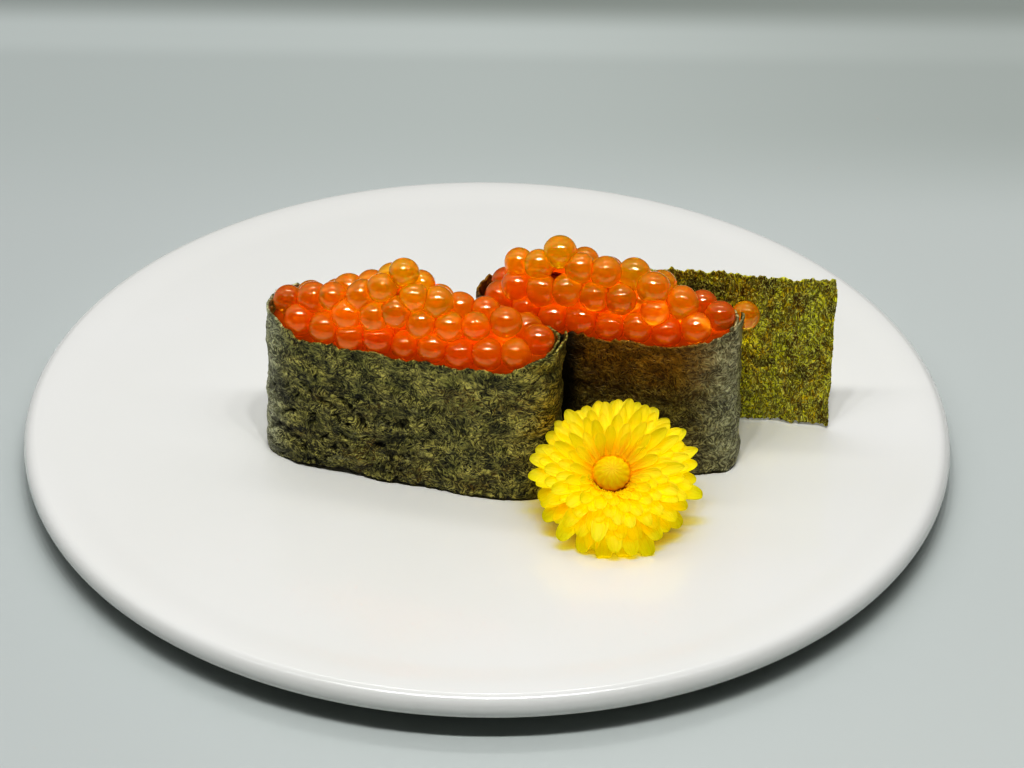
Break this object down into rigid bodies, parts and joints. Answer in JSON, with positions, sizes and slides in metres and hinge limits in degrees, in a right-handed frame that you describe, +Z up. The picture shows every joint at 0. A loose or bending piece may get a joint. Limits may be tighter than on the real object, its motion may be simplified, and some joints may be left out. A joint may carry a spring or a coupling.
{
  "type": "plate of salmon roe",
  "caption": "Round white plate with nori-wrapped rice bites heaped with salmon roe, a standing sheet of toasted nori and a yellow chrysanthemum.",
  "frame": {"origin": "on the table, under the middle of the plate", "axes": "+Z up, +X to the right as the plate is served, +Y away from the diner"},
  "size_m": [0.2, 0.2, 0.0591],
  "materials": {
    "plate_glaze": "smooth white glaze",
    "rice": "moist cooked rice",
    "nori_wrap": "damp dark green nori, faint sheen",
    "nori_dry": "toasted nori, rough side out, with small glints",
    "roe": "wet translucent orange",
    "petal": "soft yellow petal"
  },
  "bodies": {
    "root": {"plate": "plate_glaze", "rice_front": "rice", "nori_wrap_front": "nori_wrap", "roe_front": "roe", "rice_rear": "rice", "nori_wrap_rear": "nori_wrap", "roe_rear": "roe", "nori_sheet": "nori_dry", "stray_egg": "roe", "chrysanthemum": "petal"}
  },
  "joints": []
}
